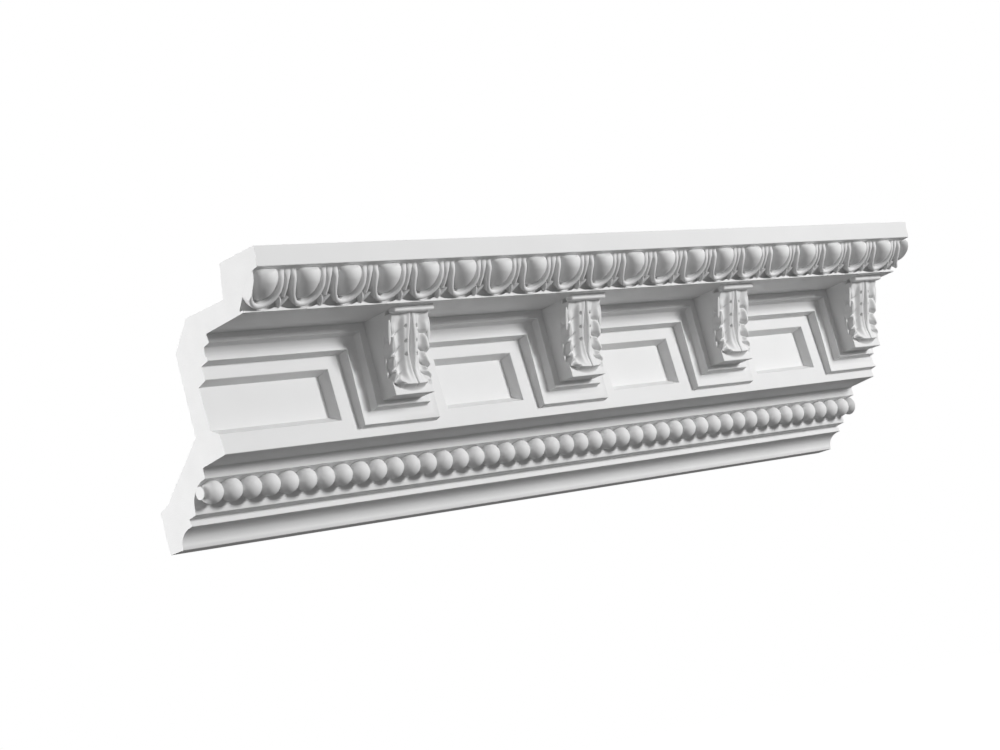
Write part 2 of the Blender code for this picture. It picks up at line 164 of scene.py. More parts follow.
def repeat_along(part: Mesh, places: list[float]) -> Mesh:
    """Repeat a bmesh along the moulding and free it.

    Args:
        part: the bmesh, made at the left end.
        places: the distances along at which it is repeated.

    Returns:
        The new bmesh.
    """
    spare = bpy.data.meshes.new("part")
    part.to_mesh(spare)
    part.free()
    whole = bmesh.new()
    here = 0.0
    for along in places:
        spare.transform(Matrix.Translation((along - here, 0.0, 0.0)))
        here = along
        whole.from_mesh(spare)
    bpy.data.meshes.remove(spare)
    return whole


def rounded_outline(corners: list[Pair], radius: float) -> list[Pair]:
    """Round the corners of a flat outline.

    Args:
        corners: the outline's corners, in order.
        radius: how far from a corner its rounding starts.

    Returns:
        The rounded outline's corners, in the same order.
    """
    flat = bmesh.new()
    face = flat.faces.new([flat.verts.new((x, y, 0.0)) for x, y in corners])
    bmesh.ops.bevel(flat, geom=face.verts[:], offset=radius, offset_type="OFFSET",
                    segments=ROUND_FACETS, profile=0.5, affect="VERTICES", material=-1, clamp_overlap=True)
    flat.faces.ensure_lookup_table()
    points = [(vert.co.x, vert.co.y) for vert in flat.faces[0].verts]
    flat.free()
    return points


def cut_square(mesh: Mesh, recess: float = 0.0) -> None:
    """Cut whatever runs past the moulding's ends off square.

    Args:
        mesh: the bmesh that is cut.
        recess: how far inside the ends the cuts lie, so that no two cut faces coincide.
    """
    for side in Side:
        end = place(LENGTH / 2 + side.value * (LENGTH / 2 - recess), 0.0, 0.0)
        cut = bmesh.ops.bisect_plane(mesh, geom=mesh.verts[:] + mesh.edges[:] + mesh.faces[:], dist=ON_PLANE,
                                     plane_co=end, plane_no=(side.value, 0.0, 0.0), clear_outer=True)
        rim = [part for part in cut["geom_cut"] if isinstance(part, bmesh.types.BMEdge)]
        bmesh.ops.holes_fill(mesh, edges=rim)


def make_piece(name: str, mesh: Mesh) -> Piece:
    """Turn a bmesh to a named object with its faces pointing out.

    Args:
        name: the object's name.
        mesh: the bmesh, which is freed.

    Returns:
        The new object.
    """
    bmesh.ops.recalc_face_normals(mesh, faces=mesh.faces[:])
    data = bpy.data.meshes.new(name)
    mesh.to_mesh(data)
    mesh.free()
    piece = bpy.data.objects.new(name, data)
    bpy.context.scene.collection.objects.link(piece)
    return piece


def join_solid(piece: Piece, tool: Piece, how: Joining) -> None:
    """Add a solid to a piece, or sink it in.

    Args:
        piece: the piece that is changed.
        tool: the solid, which is removed afterwards.
        how: whether the solid is added or sunk in.
    """
    modifier = piece.modifiers.new(tool.name, "BOOLEAN")
    modifier.operation = how.value
    modifier.solver = "MANIFOLD"
    modifier.object = tool
    graph = bpy.context.evaluated_depsgraph_get()
    shaped = bpy.data.meshes.new_from_object(piece.evaluated_get(graph))
    piece.modifiers.clear()
    old = piece.data
    piece.data = shaped
    bpy.data.meshes.remove(old)
    shaped.name = piece.name
    bpy.data.objects.remove(tool, do_unlink=True)


def set_inputs(node: bpy.types.Node, values: dict[str, float | tuple[float, ...]]) -> None:
    """Set several inputs of a shader node, each by its name."""
    for name, value in values.items():
        node.inputs[name].default_value = value


@dataclass(frozen=True)
class FoamFinish:
    """Primed or bare white foam, mottled very faintly and with a fine tooth."""

    name: str
    light: Triple
    dark: Triple
    mottle_scale: float
    tooth_scale: float
    tooth_depth: float
    roughness_low: float
    roughness_high: float
    cells: bool = False
    specular: float = 0.35
    mottle_detail: float = 4.0
    mottle_low: float = 0.30
    mottle_high: float = 0.70
    tooth_detail: float = 3.0
    bump_strength: float = 0.35

    def build(self) -> bpy.types.Material:
        """Make the material from its nodes.

        Returns:
            The new material.
        """
        material = bpy.data.materials.new(self.name)
        material.use_nodes = True
        nodes = material.node_tree.nodes
        links = material.node_tree.links
        shader = nodes["Principled BSDF"]
        set_inputs(shader, {"Metallic": 0.0, "Specular IOR Level": self.specular})
        where = nodes.new("ShaderNodeTexCoord").outputs["Object"]
        mottle = nodes.new("ShaderNodeTexNoise")
        set_inputs(mottle, {"Scale": self.mottle_scale, "Detail": self.mottle_detail})
        links.new(where, mottle.inputs["Vector"])
        tint = nodes.new("ShaderNodeValToRGB")
        tint.color_ramp.elements[0].position = self.mottle_low
        tint.color_ramp.elements[0].color = (*self.dark, 1.0)
        tint.color_ramp.elements[1].position = self.mottle_high
        tint.color_ramp.elements[1].color = (*self.light, 1.0)
        links.new(mottle.outputs["Fac"], tint.inputs["Fac"])
        links.new(tint.outputs["Color"], shader.inputs["Base Color"])
        polish = nodes.new("ShaderNodeMapRange")
        set_inputs(polish, {"To Min": self.roughness_low, "To Max": self.roughness_high})
        links.new(mottle.outputs["Fac"], polish.inputs["Value"])
        links.new(polish.outputs["Result"], shader.inputs["Roughness"])
        if self.cells:
            tooth = nodes.new("ShaderNodeTexVoronoi")
            height = tooth.outputs["Distance"]
        else:
            tooth = nodes.new("ShaderNodeTexNoise")
            set_inputs(tooth, {"Detail": self.tooth_detail})
            height = tooth.outputs["Fac"]
        set_inputs(tooth, {"Scale": self.tooth_scale})
        links.new(where, tooth.inputs["Vector"])
        bump = nodes.new("ShaderNodeBump")
        set_inputs(bump, {"Strength": self.bump_strength, "Distance": self.tooth_depth})
        links.new(height, bump.inputs["Height"])
        links.new(bump.outputs["Normal"], shader.inputs["Normal"])
        return material


PRIMED = FoamFinish("primed_white", light=(0.80, 0.80, 0.80), dark=(0.76, 0.76, 0.76),
                    mottle_scale=14.0, tooth_scale=900.0, tooth_depth=0.00012,
                    roughness_low=0.55, roughness_high=0.68)
SAWN = FoamFinish("sawn_foam", light=(0.86, 0.86, 0.86), dark=(0.83, 0.83, 0.83),
                  mottle_scale=60.0, tooth_scale=1400.0, tooth_depth=0.00025,
                  roughness_low=0.80, roughness_high=0.90, cells=True)


@dataclass
class Wardrobe:
    """The two finishes of the casting, and how a piece is dressed in them."""

    primed: bpy.types.Material
    sawn: bpy.types.Material
    square_enough: float = 0.999

    def dress(self, piece: Piece) -> None:
        """Shade a piece, give it its finishes and hand it to the frame.

        Args:
            piece: an object at the origin, with its place in its mesh.
        """
        data = piece.data
        data.materials.clear()
        data.materials.append(self.primed)
        data.materials.append(self.sawn)
        reach = LENGTH / 2 - 2 * SQUARE_RECESS
        for face in data.polygons:
            sawn = abs(face.normal.x) > self.square_enough and abs(face.center.x) > reach
            face.material_index = 1 if sawn else 0
        data.shade_smooth()
        data.set_sharp_from_angle(angle=SMOOTH_ANGLE)
        weights = piece.modifiers.new("even_flats", "WEIGHTED_NORMAL")
        weights.keep_sharp = True
        weights.mode = "FACE_AREA"
        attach(piece, "root")
        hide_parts(NODE)
        log.info("%s: %d faces", piece.name, len(data.polygons))


@dataclass(frozen=True)
class Member:
    """One member of the section: how high it is, how far it comes in on the way down, and its line."""

    name: str
    height: float
    recess: float
    line: Line = Line.FLAT


MEMBERS = (
    Member("fascia", 0.0164, 0.0014),
    Member("lip", 0.0007, 0.0056),
    Member("egg_bed", 0.0060, 0.0120),
    Member("egg_bed_foot", 0.0191, 0.0145),
    Member("egg_gutter", 0.0011, -0.0037),
    Member("egg_edge", 0.0012, -0.0004),
    Member("soffit", 0.0028, 0.0487),
    Member("wrap_fillet", 0.0067, -0.0009),
    Member("wrap_quirk", 0.0016, 0.0072),
    Member("wrap_band", 0.0113, -0.0012),
    Member("wrap_step", 0.0021, 0.0093),
    Member("frieze", 0.0723, -0.0032),
    Member("lower_soffit", 0.0028, 0.0306),
    Member("bead_fillet", 0.0089, 0.0004),
    Member("bead_channel", 0.0210, 0.0210, Line.HOLLOW),
    Member("bead_sill", 0.0033, 0.0006),
    Member("base_soffit", 0.0012, 0.0091),
    Member("base_fillet", 0.0063, -0.0012),
    Member("cove", 0.0124, 0.0172, Line.HOLLOW),
    Member("toe", 0.0028, 0.0009),
)


class Section:
    """The moulding's section, walked from the ceiling down its front."""

    def __init__(self, members: tuple[Member, ...]) -> None:
        """Work out where each member starts."""
        self.members = members
        self.starts: dict[str, Pair] = {}
        out = -CAD_LOW.y
        drop = 0.0
        for member in members:
            self.starts[member.name] = (out, drop)
            out -= member.recess
            drop += member.height
        self.foot = (out, drop)

    def top(self, name: str) -> Pair:
        """Tell the (out, drop) of a member's top corner."""
        return self.starts[name]

    def frieze_out(self, drop: float) -> float:
        """Tell how far the leaning frieze stands out at a level."""
        top_out, top_drop = self.top("frieze")
        foot_out, foot_drop = self.top("lower_soffit")
        return blend(top_out, foot_out, (drop - top_drop) / (foot_drop - top_drop))

    def hollow(self, start: Pair, end: Pair, steps: int) -> list[Pair]:
        """List the points between two corners of a hollow quarter ellipse.

        Args:
            start: the (out, drop) of its upper corner.
            end: the (out, drop) of its lower corner.
            steps: the number of its facets.

        Returns:
            The (out, drop) of each point in between.
        """
        run = start[0] - end[0]
        height = end[1] - start[1]
        points = []
        for step in range(1, steps):
            turn = math.pi / 2 * (1 - step / steps)
            points.append((start[0] - run * math.cos(turn), end[1] - height * math.sin(turn)))
        return points


SECTION = Section(MEMBERS)


def bracket_centres() -> list[float]:
    """List the distances of the bracket centres from the left end."""
    room = LENGTH - BLOCK_WIDTH / 2 - FIRST_BRACKET
    return [FIRST_BRACKET + BRACKET_PITCH * index for index in range(int(room / BRACKET_PITCH) + 1)]


def repeats(pitch: float, phase: float) -> list[float]:
    """List the places of a small repeat that covers the run and a little more."""
    first = math.floor((-SPARE - phase) / pitch)
    last = math.ceil((LENGTH + SPARE - phase) / pitch)
    return [phase + pitch * index for index in range(first, last + 1)]


@dataclass
class MouldingRun:
    """The plain run with its back, the moulding that wraps round the brackets and the sunk panels."""

    wall_face_height: float = 0.0350
    ceiling_face_depth: float = 0.0430
    ceiling_back_draft: float = 0.0060
    shelf_wall: float = 0.0180
    frieze_wall: float = 0.0180
    back_chamfer: float = 0.0225
    back_lean_drop: float = 0.0454
    back_toe_ease: float = 0.0123
    back_toe_rise: float = 0.0046
    wrap_side_margin: float = 0.0230
    wrap_bottom_margin: float = 0.0195
    band_hollow: float = 0.0016
    band_steps: int = 5
    panel_depth: float = 0.0098
    panel_top_margin: float = 0.0115
    panel_bottom_margin: float = 0.0166
    panel_side_margin: float = 0.0160
    panel_draft: float = 0.0032
    panel_sill_draft: float = 0.0052
    panel_mouth_flare: float = 0.0010
    hollow_steps: int = 14

    def front(self) -> list[Pair]:
        """List the corners of the front, without the wrap moulding.

        Returns:
            The (out, drop) of each, from the ceiling down.
        """
        points = []
        for member in SECTION.members:
            if member.name.startswith("wrap"):
                continue
            start = SECTION.top(member.name)
            end = (start[0] - member.recess, start[1] + member.height)
            if member.name == "frieze":
                drop = SECTION.top("wrap_fillet")[1]
                start = (SECTION.frieze_out(drop), drop)
            points.append(start)
            if member.line is Line.HOLLOW:
                points.extend(SECTION.hollow(start, end, self.hollow_steps))
        points.append(SECTION.foot)
        return points

    def back(self) -> list[Pair]:
        """List the corners of the hidden back.

        Returns:
            The (out, drop) of each, from the foot up.
        """
        height = SECTION.foot[1]
        shelf = (SECTION.top("soffit")[1] + SECTION.top("wrap_fillet")[1]) / 2 - self.shelf_wall
        flat = SECTION.top("frieze")[0] - self.panel_depth - self.frieze_wall
        ceiling = SECTION.top("fascia")[0] - self.ceiling_face_depth
        wall_top = height - self.wall_face_height
        return [
            (0.0, height),
            (0.0, wall_top),
            (self.back_toe_ease, wall_top - self.back_toe_rise),
            (flat, wall_top - self.back_lean_drop),
            (flat, shelf + self.back_chamfer),
            (flat + self.back_chamfer, shelf),
            (ceiling - self.ceiling_back_draft, shelf),
            (ceiling, 0.0),
        ]

    def run(self) -> Piece:
        """Extrude the rounded section along the whole run.

        Returns:
            The run, longer than the moulding.
        """
        outline = rounded_outline(self.front() + self.back(), ARRIS)
        mesh = bmesh.new()
        sweep(mesh, [[place(end, *corner) for corner in outline] for end in (-SPARE, LENGTH + SPARE)])
        return make_piece("moulding_run", mesh)

    def wrap_section(self) -> list[Pair]:
        """List the corners of the wrap moulding's section, rounded.

        Returns:
            The (inset, out) of each, from its foot inwards.
        """
        foot_out, foot_drop = SECTION.top("frieze")
        sunk = foot_out - BURY
        points = [(0.0, foot_out)]
        for name in ("wrap_step", "wrap_band", "wrap_quirk", "wrap_fillet"):
            out, drop = SECTION.top(name)
            if name == "wrap_band":
                low_out, low_drop = SECTION.top("wrap_step")
                for step in range(1, self.band_steps):
                    share = step / self.band_steps
                    dip = self.band_hollow * math.sin(math.pi * share)
                    inset = foot_drop - blend(low_drop, drop, share)
                    points.append((inset, blend(low_out, out, share) - dip))
            points.append((foot_drop - drop, out))
        inner = points[-1][0] + BURY
        slope = points[1][0] / (points[1][1] - foot_out)
        points[0] = (-slope * BURY, sunk)
        return rounded_outline(points + [(inner, points[-1][1]), (inner, sunk)], ARRIS)

    def wrap(self) -> Piece:
        """Run the wrap moulding under the soffit and round each bracket, mitred at its corners.

        Returns:
            The wrap moulding, longer than the run.
        """
        half = BLOCK_WIDTH / 2 + self.wrap_side_margin
        high = SECTION.top("frieze")[1]
        low = SECTION.top("wrap_fillet")[1] + BLOCK_HEIGHT + self.wrap_bottom_margin
        stations = [(-SPARE, high, 0)]
        for centre in bracket_centres():
            stations += [(centre - half, high, 1), (centre - half, low, 1),
                         (centre + half, low, -1), (centre + half, high, -1)]
        stations.append((max(stations[-1][0] + self.wrap_side_margin, LENGTH + SPARE), high, 0))
        section = self.wrap_section()
        mesh = bmesh.new()
        sweep(mesh, [[place(along + side * inset, out, drop - inset) for inset, out in section]
                     for along, drop, side in stations])
        return make_piece("wrap_moulding", mesh)

    def panel_spans(self) -> list[Pair]:
        """List where each sunk panel starts and ends. The first one is open at the left end.

        Returns:
            Their (start, end) along.
        """
        margin = BLOCK_WIDTH / 2 + self.wrap_side_margin + self.panel_side_margin
        centres = bracket_centres()
        spans = [(-2 * SPARE, centres[0] - margin)]
        spans += [(near + margin, far - margin) for near, far in zip(centres, centres[1:])]
        return spans

    def panels(self) -> Piece:
        """Make the cutter of the sunk panels. Their tops and sides flare a little at the mouth.

        Returns:
            The cutter.
        """
        top = SECTION.top("frieze")[1] + self.panel_top_margin
        foot = SECTION.top("lower_soffit")[1] - self.panel_bottom_margin
        flares = ((-BURY, ARRIS + self.panel_mouth_flare), (0.0, ARRIS),
                  (ARRIS, 0.0), (self.panel_depth, 0.0))
        mesh = bmesh.new()
        for left, right in self.panel_spans():
            rings = []
            for depth, flare in flares:
                side = self.panel_draft * depth / self.panel_depth - flare
                sill = self.panel_sill_draft * depth / self.panel_depth
                rings.append([
                    place(left + side, SECTION.frieze_out(top) - depth, top + side),
                    place(right - side, SECTION.frieze_out(top) - depth, top + side),
                    place(right - side, SECTION.frieze_out(foot) - depth, foot - sill),
                    place(left + side, SECTION.frieze_out(foot) - depth, foot - sill),
                ])
            sweep(mesh, rings)
        return make_piece("sunk_panels", mesh)

    def build(self) -> Piece:
        """Join the run, its wrap moulding and its panels, and cut both ends square.

        Returns:
            The finished run.
        """
        run = self.run()
        join_solid(run, self.wrap(), Joining.ADD)
        join_solid(run, self.panels(), Joining.SINK)
        mesh = bmesh.new()
        mesh.from_mesh(run.data)
        bmesh.ops.remove_doubles(mesh, verts=mesh.verts[:], dist=SMALL)
        cut_square(mesh)
        mesh.to_mesh(run.data)
        mesh.free()
        return run


@dataclass
class EggSlope:
    """The slope that the eggs lie on, from under the lip to just over the soffit's edge."""

    set_out: float = 0.0011
    set_down: float = 0.0015
    foot_out: float = 0.0014
    foot_lift: float = 0.0007

    def __post_init__(self) -> None:
        """Work out the slope's own directions in the section."""
        bed_out, bed_drop = SECTION.top("egg_bed")
        foot_out, foot_drop = SECTION.top("soffit")
        self.top = Vector((bed_out + self.set_out, bed_drop + self.set_down))
        line = Vector((foot_out + self.foot_out, foot_drop - self.foot_lift)) - self.top
        self.length = line.length
        self.down = line.normalized()
        self.front = Vector((self.down[1], -self.down[0]))

    def point(self, along: float, down: float, rise: float) -> Vector:
        """Turn a place on the slope, and a rise square to it, to a point of the frame."""
        spot = self.top + self.down * down + self.front * rise
        return place(along, spot[0], spot[1])


@dataclass
class EggAndDart:
    """The course of eggs in their rims, with a barbed dart between each two."""

    slope: EggSlope = field(default_factory=EggSlope)
    per_bracket: int = 5
    shift: float = 0.0016
    egg_sides: int = 32
    egg_rings: int = 28
    start: float = 0.0002
    floor: float = -0.0095
    egg_half_width: float = 0.0119
    egg_start: float = -0.0008
    egg_middle: float = 0.0088
    egg_length: float = 0.0276
    egg_middle_rise: float = -0.0050
    egg_height: float = 0.0130
    egg_shoulder: float = 4.5
    egg_end: float = 2.2
    egg_top_fall: float = 0.30
    egg_foot_fall: float = 1.75
    ridge_bulge: float = 0.0034
    ridge_top_sink: float = 0.0018
    ridge_top_length: float = 0.0075
    ridge_rounding: float = 0.0020
    ridge_rounding_share: float = 0.45
    ridge_facets: int = 8
    rim_half_width: float = 0.0152
    rim_thickness: float = 0.0042
    rim_flare: float = 0.0014
    rim_flare_length: float = 0.0085
    rim_straight: float = 0.0115
    rim_foot_gap: float = 0.0008
    rim_leg_steps: int = 9
    rim_bend_steps: int = 24
    spandrel_half_width: float = 0.0150
    spandrel_height: float = 0.0048
    spandrel_edge: float = 0.0010
    spandrel_depth: float = 0.0070
    spandrel_scoop: float = 2.2
    spandrel_steps: int = 8
    tongue: tuple[Triple, ...] = (
        (0.0, 0.0002, 0.0070),
        (0.0, 0.0030, 0.0066),
        (0.0, 0.0060, 0.0050),
        (0.0, 0.0095, 0.0036),
        (0.0, 0.0150, 0.0031),
        (0.0, 0.0230, 0.0026),
    )
    barb: tuple[Triple, ...] = (
        (0.0000, 0.0330, 0.0018),
        (0.0003, 0.0308, 0.0034),
        (0.0013, 0.0283, 0.0038),
        (0.0027, 0.0260, 0.0034),
        (0.0038, 0.0241, 0.0024),
        (0.0043, 0.0226, 0.0010),
    )
    dart_sink: float = 0.0014

    def bulge(self, down: float) -> float:
        """Tell how far rims and darts stand over the straight slope, least at its two ends."""
        share = min(1.0, max(0.0, down / self.slope.length))
        sunk = self.ridge_top_sink * (1 - ease(0.0, self.ridge_top_length, down))
        return self.ridge_bulge * math.sin(math.pi * share) - sunk

    def add_egg(self, mesh: Mesh, centre: float) -> None:
        """Add an egg: a sphere with broad square shoulders above and a rounder end below.

        Args:
            mesh: the bmesh that gets the egg.
            centre: the egg's distance along.
        """
        made = bmesh.ops.create_uvsphere(mesh, u_segments=self.egg_sides, v_segments=self.egg_rings,
                                         radius=1.0)["verts"]
        for vert in made:
            lengthwise = max(-1.0, min(1.0, -vert.co.z))
            turn = math.atan2(vert.co.y, vert.co.x)
            power = self.egg_shoulder if lengthwise < 0 else self.egg_end
            size = (1 - abs(lengthwise) ** power) ** (1 / power)
            tall = 1 - self.egg_top_fall * lengthwise ** 2
            if lengthwise > 0:
                tall = (1 - lengthwise ** self.egg_foot_fall) ** (1 / self.egg_foot_fall)
            reach = self.egg_middle if lengthwise < 0 else self.egg_length - self.egg_middle
            down = self.egg_start + self.egg_middle + reach * lengthwise
            wide = self.egg_half_width * size * math.cos(turn)
            rise = self.egg_middle_rise + self.egg_height * tall * math.sin(turn)
            vert.co = self.slope.point(centre + wide, down, rise)

    def add_ridge(self, mesh: Mesh, centre: float, path: list[Triple],
                  sunk: float = 0.0) -> None:
        """Add a round-backed ridge along a path on the slope.

        Args:
            mesh: the bmesh that gets the ridge.
            centre: the distance along that the path is measured from.
            path: the (across, down, width) of the ridge at each of its points.
            sunk: how far its back lies under the other ridges' backs at its foot.
        """
        rings = []
        for index, (across, down, width) in enumerate(path):
            before = path[max(0, index - 1)]
            after = path[min(len(path) - 1, index + 1)]
            heading = Vector((after[0] - before[0], after[1] - before[1])).normalized()
            high = self.bulge(down) - sunk * ease(0.0, self.rim_straight, down)
            sink = min(self.ridge_rounding, self.ridge_rounding_share * width)
            section = [(0.5, self.floor)]
            for step in range(self.ridge_facets + 1):
                turn = math.pi * step / self.ridge_facets
                section.append((0.5 * math.cos(turn), high - sink * (1 - math.sin(turn))))
            section.append((-0.5, self.floor))
            rings.append([self.slope.point(centre + across - heading.y * width * reach,
                                           down + heading.x * width * reach, rise)
                          for reach, rise in section])
        sweep(mesh, rings)

    def rim_path(self) -> list[Triple]:
        """List the rim's path: down one side of an egg, round under it and up the other side.

        Returns:
            The (across, down, width) of the rim at each of its points.
        """
        foot = self.slope.length - self.rim_foot_gap - self.rim_thickness / 2
        leg = []
        for step in range(self.rim_leg_steps):
            down = blend(self.start, self.rim_straight, step / self.rim_leg_steps)
            flare = self.rim_flare * (1 - ease(self.start, self.rim_flare_length, down))
            leg.append((self.rim_half_width + flare / 2, down, self.rim_thickness + flare))
        path = [(-across, down, width) for across, down, width in leg]
        for step in range(self.rim_bend_steps + 1):
            turn = math.pi * step / self.rim_bend_steps
            down = self.rim_straight + (foot - self.rim_straight) * math.sin(turn)
            path.append((-self.rim_half_width * math.cos(turn), down, self.rim_thickness))
        return path + leg[::-1]

    def add_dart(self, mesh: Mesh, centre: float) -> None:
        """Add a dart: a tongue with a flared top, and two barbs that meet in a point.

        Args:
            mesh: the bmesh that gets the dart.
            centre: the dart's distance along.
        """
        self.add_ridge(mesh, centre, list(self.tongue), self.dart_sink)
        for side in Side:
            barb = [(side.value * across, down, width) for across, down, width in self.barb]
            self.add_ridge(mesh, centre, barb, self.dart_sink)

    def add_spandrel(self, mesh: Mesh, centre: float) -> None:
        """Add the low scooped gable that fills the foot between two rims, under a dart.

        Args:
            mesh: the bmesh that gets the gable.
            centre: the gable's distance along.
        """
        foot_out, foot_drop = SECTION.top("soffit")
        outline = [(self.spandrel_half_width, foot_drop)]
        for step in range(self.spandrel_steps + 1):
            share = step / self.spandrel_steps
            high = blend(self.spandrel_edge, self.spandrel_height, share ** self.spandrel_scoop)
            outline.append((self.spandrel_half_width * (1 - share), foot_drop - high))
        points = outline + [(-wide, drop) for wide, drop in reversed(outline) if wide > 0]
        rings = [[place(centre + wide, foot_out - depth, drop) for wide, drop in points]
                 for depth in (self.spandrel_depth, 0.0)]
        sweep(mesh, rings)

    def build(self) -> Piece:
        """Repeat the eggs, rims and darts along the run and cut them square at its ends.

        Returns:
            The course as one piece.
        """
        pitch = BRACKET_PITCH / self.per_bracket
        motif = bmesh.new()
        self.add_egg(motif, 0.0)
        self.add_ridge(motif, 0.0, self.rim_path())
        self.add_dart(motif, pitch / 2)
        self.add_spandrel(motif, pitch / 2)
        mesh = repeat_along(motif, repeats(pitch, FIRST_BRACKET - self.shift))
        cut_square(mesh, SQUARE_RECESS)
        return make_piece("egg_and_dart", mesh)


@dataclass
class BeadString:
    """The string of round beads that lies in the channel."""

    per_bracket: int = 11
    radius: float = 0.0098
    half_length: float = 0.0102
    lift: float = 0.0014
    shift: float = 0.0015
    rings: int = 16
    sides: int = 28

    def bead_radius(self, away: float) -> float:
        """Tell the string's radius at a distance along from a bead's middle."""
        return self.radius * math.sqrt(max(0.0, 1 - (away / self.half_length) ** 2))

    def build(self) -> Piece:
        """Turn the beads' outline about the string's own line and cut the ends square.

        Returns:
            The string as one piece.
        """
        pitch = BRACKET_PITCH / self.per_bracket
        fillet_out, fillet_drop = SECTION.top("bead_channel")
        channel_out, channel_drop = SECTION.top("bead_sill")
        out = (fillet_out + channel_out) / 2
        drop = (fillet_drop + channel_drop) / 2 - self.lift
        mesh = bmesh.new()
        chain = []
        for centre in repeats(pitch, pitch / 2 + self.shift):
            for step in range(self.rings):
                away = -math.cos(math.pi * step / self.rings) * pitch / 2
                chain.append(mesh.verts.new(place(centre + away, out + self.bead_radius(away), drop)))
        edges = [mesh.edges.new(pair) for pair in zip(chain, chain[1:])]
        bmesh.ops.spin(mesh, geom=edges, cent=place(0.0, out, drop), axis=(1.0, 0.0, 0.0),
                       dvec=(0.0, 0.0, 0.0), angle=2 * math.pi, steps=self.sides, use_merge=True)
        bmesh.ops.remove_doubles(mesh, verts=mesh.verts[:], dist=SMALL)
        cut_square(mesh, SQUARE_RECESS)
        return make_piece("bead_string", mesh)


@dataclass(frozen=True)
class Fold:
    """A fold between two lobes: where it starts by the midrib, and where it reaches the leaf's edge."""

    root_side: float
    root: float
    notch: float
    drilled: bool = True


